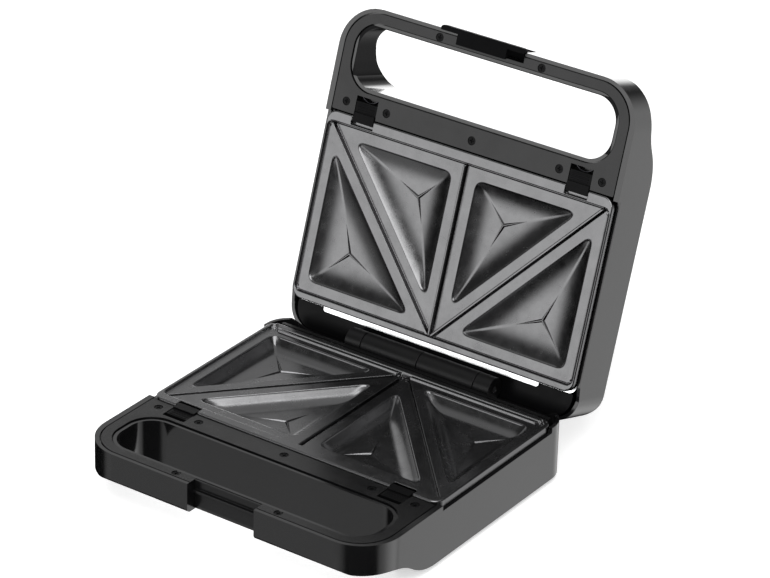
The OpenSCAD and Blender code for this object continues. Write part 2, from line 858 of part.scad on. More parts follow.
module latch_keeper() {
  ledge = 2;
  color(black_plastic) place_base() {
    translate([0.3 - notch_width / 2, -notch_wall - 1.4, 3 - handle_depth])
      cube([notch_width - 0.6, 1.4, handle_depth - 3.2 + trim_top]);
    translate([0.3 - notch_width / 2, -keeper_reach, keeper_top - ledge])
      cube([notch_width - 0.6, keeper_reach - notch_wall - 1, ledge]);
  }
}

module along_hinge(from, to, axis_z) {
  translate([from, hinge_reach, axis_z]) rotate([0, 90, 0]) cylinder(r = barrel_radius, h = to - from);
}

module hinge_bore(axis_z) {
  translate([0, hinge_reach, axis_z]) rotate([0, 90, 0])
    cylinder(r = pin_radius + pin_clearance, h = 4 * barrel_half, center = true);
}

module base_hinge_bar() {
  color(black_plastic) place_base() difference() {
    union() {
      slab(bar_floor - bar_sheet, trim_top)
        plan(base_bar_half, base_bar_front, base_bar_rear, 1, 1);
      slab(bar_floor - bar_sheet, bar_floor)
        plan(base_bar_half - 3, base_bar_front, base_length - wall - joint_gap, 1, 6);
      both_sides() {
        along_hinge(knuckle_inner + joint_gap, barrel_half, -hinge_drop);
        translate([knuckle_inner + joint_gap, hinge_reach - barrel_radius + 0.5, bar_floor - 1])
          cube([knuckle_length - joint_gap, base_length - wall - hinge_reach + barrel_radius - 0.8,
            -hinge_drop - bar_floor + 1]);
      }
    }
    hinge_bore(-hinge_drop);
  }
}

module lid_hinge_bar() {
  color(black_plastic) place_lid()
    slab(lid_bar_top - lid_bar_sheet, lid_bar_top)
      plan(base_bar_half + 3, plate_length + 1.5, lid_bar_rear, 2, rear_corner - wall - 2);
}

module lid_barrel(side) {
  from = side > 0 ? 0.25 : joint_gap - knuckle_inner;
  to = side > 0 ? knuckle_inner - joint_gap : -0.25;
  difference() {
    union() {
      along_hinge(from, to, hinge_drop);
      translate([from, hinge_reach - barrel_radius + 2, lid_bar_top])
        cube([to - from, 2 * barrel_radius - 4, hinge_drop - lid_bar_top]);
    }
    hinge_bore(hinge_drop);
  }
}

module lid_barrel_left() {
  color(black_plastic) place_lid() lid_barrel(-1);
}

module lid_barrel_right() {
  color(black_plastic) place_lid() lid_barrel(1);
}

module hinge_pin() {
  color(steel) place_base() translate([0, hinge_reach, -hinge_drop]) rotate([0, 90, 0])
    cylinder(r = pin_radius, h = 2 * barrel_half - 1, center = true);
}

module lens(x) {
  translate([x, lamp_y, -body_depth]) {
    translate([0, 0, -0.8]) cylinder(r = lamp_radius + 0.8, h = 0.8);
    cylinder(r = lamp_radius, h = wall + 1);
  }
}

module power_lens() {
  color([0.8, 0.1, 0.08, 0.8]) place_lid() lens(-lamp_x);
}

module ready_lens() {
  color([0.1, 0.6, 0.2, 0.8]) place_lid() lens(lamp_x);
}

module lamp_holder() {
  color(black_plastic) place_lid() difference() {
    translate([-lamp_block[0] / 2, lamp_y - lamp_block[1] / 2, floor_top]) cube(lamp_block);
    for (x = [-lamp_x, lamp_x])
      translate([x, lamp_y, floor_top - 1]) cylinder(r = lamp_radius + joint_gap, h = lamp_block[2] - 2);
  }
}

module latch_web() {
  extrude_across(2 * tongue_half)
    polygon([[tip_front + 0.5, latch_reach - tip_depth + 0.6], [tip_front + latch_face - 0.4, latch_reach - 0.6],
      [latch_axis_y - 1.8, -1], [latch_axis_y + 2.9, latch_axis_z + 3.4],
      [latch_axis_y + 2.9, latch_axis_z - 3], [latch_axis_y - 2.9, latch_axis_z - 3],
      [latch_axis_y - 3.4, -1.5]]);
}

module latch_lever() {
  color(black_plastic) place_lid() difference() {
    union() {
      slab(latch_reach - tip_depth, latch_reach)
        plan(latch_half, tip_front, tip_front + latch_face, 2.4, 0.9);
      latch_web();
      slab(latch_reach - hook_thickness, latch_reach)
        plan(hook_half, tip_front + latch_face - 1.5, hook_end, 0.3, 0.6);
    }
    translate([0, latch_axis_y, latch_axis_z]) rotate([0, 90, 0])
      cylinder(r = latch_pin_radius + pin_clearance, h = 100, center = true);
    translate([-4, latch_axis_y - 5, latch_axis_z - 7]) cube([8, 12, 13]);
  }
}

module latch_pin() {
  color(steel) place_lid() translate([0, latch_axis_y, latch_axis_z]) rotate([0, 90, 0])
    cylinder(r = latch_pin_radius, h = notch_width + 2 * wall - 0.4, center = true);
}

module latch_spring() {
  color(steel) place_lid() translate([0, latch_axis_y, latch_axis_z]) rotate([0, 90, 0])
    for (k = [-2 : 2])
      translate([0, 0, k]) rotate_extrude() translate([2.4, 0]) circle(0.55);
}

base_shell();
base_trim();
base_hinge_bar();
base_plate();
base_reflector();
base_heater();
base_thermostat();
terminal_block();
base_clip_left();
base_clip_right();
base_clip_spring_left();
base_clip_spring_right();
base_screws();
base_feet();
cord_bush();
latch_keeper();
hinge_pin();
lid_shell();
lid_trim();
lid_hinge_bar();
lid_barrel_left();
lid_barrel_right();
lid_plate();
lid_reflector();
lid_heater();
thermal_fuse();
lid_clip_left();
lid_clip_right();
lid_clip_spring_left();
lid_clip_spring_right();
lid_screws();
power_lens();
ready_lens();
lamp_holder();
latch_lever();
latch_pin();
latch_spring();
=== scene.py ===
import json
import math

import bmesh
import bpy
import numpy as np
from mathutils import Matrix, Vector


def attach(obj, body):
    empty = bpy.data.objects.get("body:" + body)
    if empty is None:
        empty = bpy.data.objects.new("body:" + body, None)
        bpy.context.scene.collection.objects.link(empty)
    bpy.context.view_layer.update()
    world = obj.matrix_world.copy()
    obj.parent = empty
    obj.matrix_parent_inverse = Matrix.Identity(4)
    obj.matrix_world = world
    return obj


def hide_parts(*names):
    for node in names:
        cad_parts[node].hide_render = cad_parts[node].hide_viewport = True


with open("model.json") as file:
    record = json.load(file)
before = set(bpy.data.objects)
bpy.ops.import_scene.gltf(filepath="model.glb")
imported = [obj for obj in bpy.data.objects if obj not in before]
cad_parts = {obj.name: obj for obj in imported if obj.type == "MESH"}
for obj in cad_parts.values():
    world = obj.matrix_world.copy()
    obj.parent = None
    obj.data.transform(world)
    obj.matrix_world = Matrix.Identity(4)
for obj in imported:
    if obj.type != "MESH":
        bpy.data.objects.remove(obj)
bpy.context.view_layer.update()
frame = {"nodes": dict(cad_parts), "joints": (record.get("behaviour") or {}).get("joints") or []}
nodes = frame["nodes"]
MM = 0.001

# Half frames. Each half is drawn in millimetres, closed and face up: y 0 is the plate's
# front edge, z 0 the plane where the halves meet. turn() and place() bring it to the frame.
hinge = next(j for j in frame["joints"] if j["name"] == "lid_hinge")
HINGE_Y = hinge["pos_m"][1] / MM
HINGE_Z = hinge["pos_m"][2] / MM
LID_ANGLE = math.radians(hinge["range_deg"][1])
HINGE_REACH = 150.74  # from the plate's front edge to the hinge axis
HINGE_DROP = 1.38  # from the plane of the halves down to the hinge axis, in the base


def turn(v, lid):
    """Directions of a half frame in the frame; the lid's are open by the hinge's range."""
    out = np.array(v, float)
    if not lid:
        return out
    y, z = out[:, 1].copy(), -out[:, 2]
    out[:, 1] = math.cos(LID_ANGLE) * y + math.sin(LID_ANGLE) * z
    out[:, 2] = -math.sin(LID_ANGLE) * y + math.cos(LID_ANGLE) * z
    return out


def place(p, lid):
    """Points of a half frame in the frame, in metres."""
    p = np.array(p, float)
    p[:, 1] -= HINGE_REACH
    p[:, 2] += -HINGE_DROP if lid else HINGE_DROP
    p = turn(p, lid)
    p[:, 1] += HINGE_Y
    p[:, 2] += HINGE_Z
    return p * MM


# Shader nodes


def shader(m):
    return m.node_tree.nodes["Principled BSDF"]


def new_material(name, base, rough, metallic=0.0, ior=1.5, level=0.5):
    m = bpy.data.materials.new(name)
    m.use_nodes = True
    inputs = shader(m).inputs
    inputs["Base Color"].default_value = (*base, 1.0)
    inputs["Roughness"].default_value = rough
    inputs["Metallic"].default_value = metallic
    inputs["IOR"].default_value = ior
    inputs["Specular IOR Level"].default_value = level
    return m


def math_node(tree, operation, *values):
    n = tree.nodes.new("ShaderNodeMath")
    n.operation = operation
    for socket, value in zip(n.inputs, values):
        if isinstance(value, (int, float)):
            socket.default_value = value
        else:
            tree.links.new(value, socket)
    return n.outputs[0]


def dot_node(tree, vector, way):
    n = tree.nodes.new("ShaderNodeVectorMath")
    n.operation = "DOT_PRODUCT"
    n.inputs[1].default_value = way
    tree.links.new(vector, n.inputs[0])
    return n.outputs["Value"]


def range_node(tree, value, from_range, to_range=(0, 1), smooth=False):
    n = tree.nodes.new("ShaderNodeMapRange")
    if smooth:
        n.interpolation_type = "SMOOTHSTEP"
    n.inputs["From Min"].default_value, n.inputs["From Max"].default_value = from_range
    n.inputs["To Min"].default_value, n.inputs["To Max"].default_value = to_range
    tree.links.new(value, n.inputs["Value"])
    return n.outputs["Result"]


def object_coords(m, scale=(1, 1, 1)):
    t = m.node_tree
    coords = t.nodes.new("ShaderNodeTexCoord")
    mapping = t.nodes.new("ShaderNodeMapping")
    mapping.inputs["Scale"].default_value = scale
    t.links.new(coords.outputs["Object"], mapping.inputs["Vector"])
    return mapping.outputs["Vector"]


def noise(m, coords, scale, detail, rough=0.5):
    n = m.node_tree.nodes.new("ShaderNodeTexNoise")
    n.inputs["Scale"].default_value = scale
    n.inputs["Detail"].default_value = detail
    n.inputs["Roughness"].default_value = rough
    m.node_tree.links.new(coords, n.inputs["Vector"])
    return n.outputs["Fac"]


def vary_colour(m, fac, base, dark, bright, ends=(0.35, 0.65)):
    """Let the colour wander between dark and bright, two factors of the base colour."""
    t = m.node_tree
    ramp = t.nodes.new("ShaderNodeValToRGB")
    for stop, position, factor in zip(ramp.color_ramp.elements, ends, (dark, bright)):
        stop.position = position
        stop.color = (*(factor * v for v in base), 1)
    t.links.new(fac, ramp.inputs["Fac"])
    t.links.new(ramp.outputs["Color"], shader(m).inputs["Base Color"])


def vary_rough(m, fac, low, high):
    rough = range_node(m.node_tree, fac, (0.3, 0.7), (low, high))
    m.node_tree.links.new(rough, shader(m).inputs["Roughness"])


def bump(m, fac, strength, distance, into=None):
    t = m.node_tree
    b = t.nodes.new("ShaderNodeBump")
    b.inputs["Strength"].default_value = strength
    b.inputs["Distance"].default_value = distance
    t.links.new(fac, b.inputs["Height"])
    if into is not None:
        t.links.new(into, b.inputs["Normal"])
    t.links.new(b.outputs["Normal"], shader(m).inputs["Normal"])
    return b.outputs["Normal"]


# Materials


def moulded_gloss(name, base):
    m = new_material(name, base, 0.13, ior=1.52)
    c = object_coords(m)
    vary_colour(m, noise(m, c, scale=14, detail=2), base, dark=0.9, bright=1.12)
    vary_rough(m, noise(m, c, scale=55, detail=4, rough=0.6), low=0.09, high=0.17)
    wave = bump(m, noise(m, c, scale=26, detail=1), strength=0.04, distance=0.0006)
    bump(m, noise(m, c, scale=1900, detail=2), strength=0.05, distance=0.00004, into=wave)
    return m


def moulded_satin(name, base, rough, grain, depth, strength, level=0.5):
    m = new_material(name, base, rough, level=level)
    c = object_coords(m)
    vary_colour(m, noise(m, c, scale=22, detail=3), base, dark=0.88, bright=1.14)
    vary_rough(m, noise(m, c, scale=70, detail=4, rough=0.6), low=rough - 0.05, high=rough + 0.06)
    bump(m, noise(m, c, scale=grain, detail=2), strength, depth)
    return m


def coated_cast(name, base, rough):
    """Cast metal under a thin coat: fine grain over broad patches, and a slight orange peel."""
    m = new_material(name, base, rough, metallic=1.0)
    c = object_coords(m)
    t = m.node_tree
    fine = noise(m, c, scale=2400, detail=2, rough=0.55)
    broad = noise(m, c, scale=38, detail=3)
    mix = math_node(t, "MULTIPLY_ADD", fine, 0.6, math_node(t, "MULTIPLY", broad, 0.4))
    vary_colour(m, mix, base, dark=0.88, bright=1.12, ends=(0.3, 0.7))
    vary_rough(m, noise(m, c, scale=120, detail=4, rough=0.6), low=rough - 0.05, high=rough + 0.05)
    peel = bump(m, noise(m, c, scale=700, detail=2), strength=0.04, distance=0.0001)
    bump(m, fine, strength=0.08, distance=0.00005, into=peel)
    return m


def drawn_metal(name, base, rough, stretch=(1, 1, 1)):
    """Bare metal with its grain along the axis that is stretched least."""
    m = new_material(name, base, rough, metallic=1.0)
    c = object_coords(m, stretch)
    vary_colour(m, noise(m, c, scale=60, detail=4), base, dark=0.86, bright=1.05)
    vary_rough(m, noise(m, c, scale=220, detail=4, rough=0.6), low=rough - 0.06, high=rough + 0.1)
    bump(m, noise(m, c, scale=900, detail=3), strength=0.25, distance=0.00004)
    return m


def clear_lens(name, base):
    m = new_material(name, base, 0.16)
    bump(m, noise(m, object_coords(m), scale=800, detail=1), strength=0.15, distance=0.00005)
    return m


# The lid's hand opening in the half frame. Its walls reflect little in the photograph.
OPENING_HALF, OPENING_FRONT, OPENING_REAR = 105.6, -64.6, -27.0
OPENING_LEVEL = 0.04
PLAIN_LEVEL = 0.5


def shade_opening(m):
    """Dull the walls of the lid's hand opening, found by their place in the half frame."""
    t = m.node_tree
    coords = t.nodes.new("ShaderNodeTexCoord").outputs["Object"]
    axes = t.nodes.new("ShaderNodeSeparateXYZ")
    t.links.new(coords, axes.inputs[0])
    cos, sin = math.cos(LID_ANGLE), math.sin(LID_ANGLE)
    shift = HINGE_REACH - cos * HINGE_Y + sin * HINGE_Z
    y = math_node(t, "ADD", dot_node(t, coords, (0, cos, -sin)), shift * MM)
    middle = (OPENING_FRONT + OPENING_REAR) / 2
    reach = (OPENING_REAR - OPENING_FRONT) / 2
    in_x = math_node(t, "COMPARE", axes.outputs["X"], 0.0, OPENING_HALF * MM)
    in_y = math_node(t, "COMPARE", y, middle * MM, reach * MM)
    inside = math_node(t, "MULTIPLY", in_x, in_y)
    level = math_node(t, "MULTIPLY_ADD", inside, OPENING_LEVEL - PLAIN_LEVEL, PLAIN_LEVEL)
    t.links.new(level, shader(m).inputs["Specular IOR Level"])
    return m


GRAPHITE = (0.004, 0.004, 0.0042)
BLACK = (0.003, 0.003, 0.0032)
FINE_GRAIN = {"grain": 2400, "depth": 0.00006, "strength": 0.4}
mats = {
    "shell": moulded_gloss("shell_gloss_graphite", GRAPHITE),
    "trim": moulded_satin("trim_satin_grey", GRAPHITE, 0.2,
                          grain=2600, depth=0.00005, strength=0.25, level=0.27),
    "plate": coated_cast("plate_nonstick_coat", (0.118, 0.118, 0.12), 0.24),
    "reflector": drawn_metal("reflector_bright_sheet", (0.86, 0.87, 0.88), 0.24, (1, 6, 6)),
    "heater": drawn_metal("heater_sheath", (0.30, 0.28, 0.265), 0.42),
    "steel": drawn_metal("plain_steel", (0.55, 0.55, 0.56), 0.3, (6, 1, 1)),
    "ceramic": moulded_satin("ceramic_cream", (0.72, 0.69, 0.62), 0.6,
                             grain=1500, depth=0.0001, strength=0.4),
    "rubber": moulded_satin("rubber_matte", (0.018, 0.018, 0.018), 0.72,
                            grain=1400, depth=0.00012, strength=0.5),
    "black": moulded_satin("plastic_black_grain", BLACK, 0.42, level=0.05, **FINE_GRAIN),
    "barrel_black": moulded_satin("hinge_black_satin", GRAPHITE, 0.38, level=0.18, **FINE_GRAIN),
    "gloss_black": moulded_satin("plastic_black_smooth", (0.002, 0.002, 0.0022), 0.3,
                                 grain=900, depth=0.00003, strength=0.2, level=0.07),
    "latch_black": moulded_satin("latch_black_matte", BLACK, 0.55, level=0.03, **FINE_GRAIN),
    "screw": moulded_satin("screw_black_oxide", BLACK, 0.3,
                           grain=1800, depth=0.00004, strength=0.3, level=0.06),
    # Painted shade: the springs are coloured near black so that the slot behind each clip pad,
    # where they show, reads as shaded
    "spring": drawn_metal("spring_steel_painted_shade", (0.045, 0.045, 0.05), 0.4, (6, 1, 1)),
    "red": clear_lens("lens_red", (0.42, 0.012, 0.008)),
    "green": clear_lens("lens_green", (0.02, 0.22, 0.05)),
    "lid_shell": shade_opening(moulded_gloss("lid_shell_gloss", GRAPHITE)),
}

# Carried-over CAD nodes: the material of each and the width of its edge rounding, in mm
cad_looks = {
    "base_shell": ("shell", 0.35),
    "lid_shell": ("lid_shell", 0.35),
    "base_trim": ("trim", 0.45),
    "lid_trim": ("trim", 0.45),
    "base_hinge_bar": ("barrel_black", 0.3),
    "lid_hinge_bar": ("gloss_black", 0.3),
    "lid_barrel_left": ("barrel_black", 0.4),
    "lid_barrel_right": ("barrel_black", 0.4),
    "base_reflector": ("reflector", 0),
    "lid_reflector": ("reflector", 0),
    "base_heater": ("heater", 0),
    "lid_heater": ("heater", 0),
    "base_thermostat": ("steel", 0.2),
    "thermal_fuse": ("steel", 0),
    "terminal_block": ("ceramic", 0.3),
    "base_feet": ("rubber", 0.5),
    "cord_bush": ("rubber", 0.3),
    "base_clip_left": ("black", 0.3),
    "base_clip_right": ("black", 0.3),
    "lid_clip_left": ("black", 0.3),
    "lid_clip_right": ("black", 0.3),
    "base_clip_spring_left": ("spring", 0),
    "base_clip_spring_right": ("spring", 0),
    "lid_clip_spring_left": ("spring", 0),
    "lid_clip_spring_right": ("spring", 0),
    "base_screws": ("screw", 0.12),
    "lid_screws": ("screw", 0.12),
    "latch_keeper": ("trim", 0.25),
    "latch_lever": ("latch_black", 0.5),
    "latch_pin": ("steel", 0.1),
    "latch_spring": ("steel", 0),
    "hinge_pin": ("steel", 0.2),
    "lamp_holder": ("black", 0.3),
    "power_lens": ("red", 0.3),
    "ready_lens": ("green", 0.3),
    "base_plate": ("plate", 0),
    "lid_plate": ("plate", 0),
}


def soften(ob, width):
    """Rounded edges on a carried-over CAD node, so that they catch the light."""
    weld = ob.modifiers.new("weld", "WELD")
    weld.merge_threshold = 1e-6
    planar = ob.modifiers.new("planar", "DECIMATE")
    planar.decimate_type = "DISSOLVE"
    planar.angle_limit = math.radians(0.4)
    edges = ob.modifiers.new("edges", "BEVEL")
    edges.width = width * MM
    edges.segments = 2
    edges.limit_method = "ANGLE"
    edges.angle_limit = math.radians(30)
    normals = ob.modifiers.new("normals", "WEIGHTED_NORMAL")
    normals.keep_sharp = True
    for p in ob.data.polygons:
        p.use_smooth = True


for name, (key, width) in cad_looks.items():
    nodes[name].data.materials.clear()
    nodes[name].data.materials.append(mats[key])
    if width:
        soften(nodes[name], width)

# Cooking plates, in millimetres of the half frame. x is mirrored, so each size is one side's.
WIDTH, LENGTH, CORNER = 235.0, 136.3, 8.0
SKIRT = 6.3  # from the rim down to the skirt's lower edge
EDGE_ROUND = 1.1  # rounding of the rim's outer edge
RIM_FRONT, RIM_REAR, RIM_CORNER = 7.3, 4.8, 5.0  # the raised rim's inner outline

# Seal lines: one down the middle, and one from its rear end to each front corner
APEX = np.array([0.0, LENGTH - 4.3])
TOE = np.array([WIDTH / 2 - 5.5, 8.0])
SEAL_LENGTH = float(np.linalg.norm(TOE - APEX))
ALONG = (TOE - APEX) / np.linalg.norm(TOE - APEX)
ACROSS = np.array([-ALONG[1], ALONG[0]])
OFFSET = float(ACROSS @ APEX)

# Pockets: the outward normal of each edge, and its distance from the origin
SEAL_MARGIN = 8.5
OUTER_LINES = [((1.0, 0.0), WIDTH / 2 - 10), ((0.0, 1.0), LENGTH - 13.3),
               (tuple(-ACROSS), -OFFSET - SEAL_MARGIN)]
INNER_LINES = [((-1.0, 0.0), -9.7), ((0.0, -1.0), -16.4),
               (tuple(ACROSS), OFFSET - SEAL_MARGIN)]
POCKET_GROWTH = 0.35  # the lip starts this far outside those edges
OUTLINE_BLEND, CREASE_BLEND = 7.0, 2.2  # rounding of corners at the outline and of creases inside
DISH_POWER = 2.6
TROUGH_WALL, TROUGH_FILLET, TROUGH_FALL = math.radians(50), 12.0, 0.05

# Recesses under the release clips
PAD_X, PAD_HALF, PAD_FRONT, PAD_REAR, PAD_CORNER, PAD_LEVEL = 88.0, 9.1, -5, 6.4, 0.4, -3.8
# The base plate's raised bar along its rear edge, and the ring groove at each rear corner
BAR_HALF, BAR_FRONT, BAR_REAR, BAR_ROUND, BAR_HEIGHT = 108.0, 127.6, 130.4, 1.4, 1.5
RING_SIDE, RING_REAR, RING_RADIUS, RING_DEPTH = 5.3, 5.2, 2.0, 1.0


def crossing(a, b):
    return np.linalg.solve(np.array([a[0], b[0]]), np.array([a[1], b[1]]))


def triangle(lines):
    """Corners, incentre and inradius of the triangle between three lines."""
    first, second, third = lines
    p = [crossing(first, second), crossing(second, third), crossing(third, first)]
    a, b, c = (np.linalg.norm(p[k - 2] - p[k - 1]) for k in range(3))
    s = (a + b + c) / 2
    centre = (a * p[0] + b * p[1] + c * p[2]) / (a + b + c)
    return p, centre, math.sqrt((s - a) * (s - b) * (s - c) / s)


def smooth_min(a, b, k):
    h = np.clip(k - np.abs(a - b), 0, None) / k
    return np.minimum(a, b) - h * h * k / 4


def smooth_step(v, low, high):
    t = np.clip((v - low) / (high - low), 0, 1)
    return t * t * (3 - 2 * t)


def arc_drop(distance, radius):
    """How far a quarter round of this radius lies under its top, at a distance from it."""
    return radius - np.sqrt(np.clip(radius * radius - distance ** 2, 0, None))


def rounded_box(x, y, half, front, rear, r):
    """Distance inside a rounded rectangle, positive inside."""
    middle = (front + rear) / 2
    qx = np.abs(x) - (half - r)
    qy = np.abs(y - middle) - ((rear - front) / 2 - r)
    outside = np.hypot(np.maximum(qx, 0), np.maximum(qy, 0))
    return r - outside - np.minimum(np.maximum(qx, qy), 0)


def dish_depth(d, depth, reach):
    """Depth of a pocket that curves all the way from its edge to its middle."""
    return depth * (1 - np.clip(1 - d / reach, 0, 1) ** DISH_POWER)


def trough_depth(d, depth, reach):
    """Depth of a pocket at distance d inside its edge: wall, fillet, then a nearly flat floor."""
    slope = math.tan(TROUGH_WALL)
    foot = (depth - TROUGH_FALL * reach) / (slope - TROUGH_FALL)
    floor_angle = math.atan(TROUGH_FALL)
    back = TROUGH_FILLET * math.tan((TROUGH_WALL - floor_angle) / 2)
    start = foot - back * math.cos(TROUGH_WALL)
    end = foot + back * math.cos(floor_angle)
    hub = start + TROUGH_FILLET * math.sin(TROUGH_WALL)
    hub_depth = start * slope - TROUGH_FILLET * math.cos(TROUGH_WALL)
    arc = hub_depth + np.sqrt(np.clip(TROUGH_FILLET ** 2 - (d - hub) ** 2, 0, None))
    flat = foot * slope + TROUGH_FALL * (d - foot)
    return np.where(d < start, d * slope, np.where(d < end, arc, flat))


def thinned(values, last):
    """Grid lines without those that lie too close to the one before, ending at the last one."""
    out = [values[0]]
    for v in values[1:]:
        if v - out[-1] > 0.045:
            out.append(v)
    if out[-1] < last - 1e-3:
        out[-1] = last
    return out


class Plate:
    """A cooking plate: a height field over its outline, and the skirt round it."""

    def __init__(self, lid):
        self.lid = lid
        self.rim = -0.3 if lid else 0.0
        self.land = -1.6 if lid else -1.8
        self.depth = 5.4 if lid else 9.0
        self.lip = 1.5 if lid else 0.9
        self.side_rim = 1.5 if lid else 3.0
        self.seal_height = 3.5 if lid else -2.8
        self.mark_rise = 1.15 if lid else 0.75

    def height(self, x, y):
        x = np.abs(x)
        inside = rounded_box(x, y, WIDTH / 2 - self.side_rim, RIM_FRONT, LENGTH - RIM_REAR,
                             RIM_CORNER)
        z = self.rim + (self.land - self.rim) * smooth_step(inside, -0.45, 0.75)
        edge = rounded_box(x, y, WIDTH / 2, 0, LENGTH, CORNER)
        z = z - arc_drop(np.clip(EDGE_ROUND - edge, 0, EDGE_ROUND), EDGE_ROUND)
        for lines in (OUTER_LINES, INNER_LINES):
            z = z - self.pocket(x, y, lines)
        if self.lid:
            z = z - 0.9 * (1 - smooth_step(np.abs(inside - 0.7), 0.2, 0.8))
        z = z + self.seal(x, y, inside)
        if not self.lid:
            bar = rounded_box(x, y, BAR_HALF, BAR_FRONT, BAR_REAR, BAR_ROUND)
            z = z + BAR_HEIGHT * smooth_step(bar, 0.0, 0.7)
            ring = np.hypot(x - (WIDTH / 2 - RING_SIDE), y - (LENGTH - RING_REAR)) - RING_RADIUS
            z = z - RING_DEPTH * (1 - smooth_step(np.abs(ring), 0.3, 0.85))
        pad = rounded_box(x - PAD_X, y, PAD_HALF, PAD_FRONT, PAD_REAR, PAD_CORNER)
        return z + (PAD_LEVEL - z) * smooth_step(pad, -0.2, 0.2)

    def pocket(self, x, y, lines):
        a, b, c = (distance - n[0] * x - n[1] * y for n, distance in lines)
        outline = smooth_min(smooth_min(a, b, OUTLINE_BLEND), c, OUTLINE_BLEND)
        creases = smooth_min(smooth_min(a, b, CREASE_BLEND), c, CREASE_BLEND)
        near = outline + (creases - outline) * smooth_step(creases, 1.0, 7.0) + POCKET_GROWTH
        reach = triangle(lines)[2]
        if self.lid:
            depth = dish_depth(np.clip(near, 0, None), self.depth, reach + POCKET_GROWTH)
        else:
            depth = trough_depth(np.clip(near, 0, None), self.depth, reach)
        t = np.clip(near / self.lip, 0, 1)
        return np.where(near < self.lip, depth * t * t * (2 - t), depth)

    def seal(self, x, y, inside):
        """The lid plate's ridges, or the grooves of the base plate that take them."""
        run = (x - APEX[0]) * ALONG[0] + (y - APEX[1]) * ALONG[1]
        off = np.abs((x - APEX[0]) * ACROSS[0] + (y - APEX[1]) * ACROSS[1])
        diagonal = smooth_step(run, -3.0, -1.5)
        diagonal = diagonal * (1 - smooth_step(run, SEAL_LENGTH - 1.0, SEAL_LENGTH + 3.0))
        middle = smooth_step(y, 8.0, 9.0) * (1 - smooth_step(y, APEX[1] + 0.5, APEX[1] + 2))
        lines = np.maximum(self.seal_section(off) * diagonal, self.seal_section(x) * middle)
        return self.seal_height * lines * smooth_step(inside, 0.0, 1.5)

    def seal_section(self, off):
        if self.lid:
            return 1 - np.clip((off - 0.55) / 1.05, 0, 1)
        return 1 - smooth_step(off, 0.8, 1.7)

    def grid_lines(self):
        """Grid columns and rows, closer where the surface turns. The cells' diagonals run
        along the seal lines, so these stay straight."""
        dx = 0.5
        dy = dx * (APEX[1] - TOE[1]) / (TOE[0] - APEX[0])
        edge_steps = (0, 0.06, 0.2, 0.42, 0.7, 1.05, 1.5)
        if self.lid:
            rim_steps = (-0.8, -0.45, -0.1, 0.2, 0.45, 0.75, 1.1, 1.5)
        else:
            rim_steps = (-0.7, -0.4, -0.2, 0, 0.2, 0.4, 0.7)
        special = [WIDTH / 2 - v for v in edge_steps]
        special += [WIDTH / 2 - self.side_rim - v for v in rim_steps]
        special += [PAD_X + side * v for side in (-1, 1) for v in (8.8, 9.0, 9.2, 9.4)]
        regular = np.arange(0, WIDTH / 2 - 4, dx)
        xs = thinned(sorted(set(np.round(np.concatenate([regular, special]), 4))), WIDTH / 2)
        special = list(edge_steps) + [LENGTH - v for v in edge_steps]
        special += [6.1, 6.3, 6.5, 6.7, 6.9, 7.1, 7.3, 7.5, 7.8, 8.1]
        special += [LENGTH - RIM_REAR + v for v in (-0.8, -0.5, -0.2, 0, 0.2)]
        if not self.lid:
            special += [side + v for side in (BAR_FRONT, BAR_REAR)
                        for v in (-0.1, 0.1, 0.35, 0.6, -0.35, -0.6)]
        regular = APEX[1] - dy * np.arange(-2, int((APEX[1] - 2) / dy) + 1)
        ys = thinned(sorted(set(np.round(np.concatenate([regular, special]), 4))), LENGTH)
        return np.array([-v for v in xs[:0:-1]] + xs), np.array(ys)

    def outward(self, x, y):
        """Level unit vectors from the plate's middle part to its outline."""
        cx = np.clip(x, -(WIDTH / 2 - CORNER), WIDTH / 2 - CORNER)
        cy = np.clip(y, CORNER, LENGTH - CORNER)
        out = np.stack([x - cx, y - cy, np.zeros_like(x)], axis=-1)
        return out / np.clip(np.linalg.norm(out, axis=-1, keepdims=True), 1e-9, None)

    def normals(self, x, y, out):
        step = 0.06
        gx = (self.height(x + step, y) - self.height(x - step, y)) / (2 * step)
        gy = (self.height(x, y + step) - self.height(x, y - step)) / (2 * step)
        n = np.stack([-gx, -gy, np.ones_like(gx)], axis=-1)
        at_edge = rounded_box(x, y, WIDTH / 2, 0, LENGTH, CORNER) < 0.08
        n[at_edge] = out[at_edge] + np.array([0, 0, 0.12])
        return n / np.linalg.norm(n, axis=-1, keepdims=True)

    def build(self, name):
        xs, ys = self.grid_lines()
        # the outermost columns draw in to follow the outline's rounded corners
        steady = 90.0
        end = np.minimum(ys, LENGTH - ys)
        gap = np.where(end < CORNER, arc_drop(CORNER - end, CORNER), 0)
        pull = np.clip((np.abs(xs) - steady) / (WIDTH / 2 - steady), 0, 1)
        x = np.sign(xs)[None, :] * (np.abs(xs)[None, :] - pull[None, :] * gap[:, None])
        y = np.repeat(ys[:, None], len(xs), axis=1)
        out = self.outward(x, y)
        points = np.stack([x, y, self.height(x, y)], axis=-1).reshape(-1, 3)
        normals = self.normals(x, y, out).reshape(-1, 3)

        rows, cols = x.shape
        a = (np.arange(rows - 1)[:, None] * cols + np.arange(cols - 1)[None, :]).ravel()
        b, c, d = a + 1, a + cols + 1, a + cols
        right = np.tile(xs[:-1] >= -1e-6, rows - 1)
        left = ~right
        faces = [np.stack(corners, axis=1) for corners in (
            (a[right], b[right], d[right]), (b[right], c[right], d[right]),
            (a[left], b[left], c[left]), (a[left], c[left], d[left]))]

        loop = list(range(cols)) + [r * cols + cols - 1 for r in range(1, rows)]
        loop += [(rows - 1) * cols + k for k in range(cols - 2, -1, -1)]
        loop += [r * cols for r in range(rows - 2, 0, -1)]
        rings, ring_normals, ring_faces = skirt(points[loop], out.reshape(-1, 3)[loop], len(points))
        points = np.concatenate([points] + rings)
        normals = np.concatenate([normals] + ring_normals)
        return grid_object(name, points, np.concatenate(faces + ring_faces), normals, self.lid)


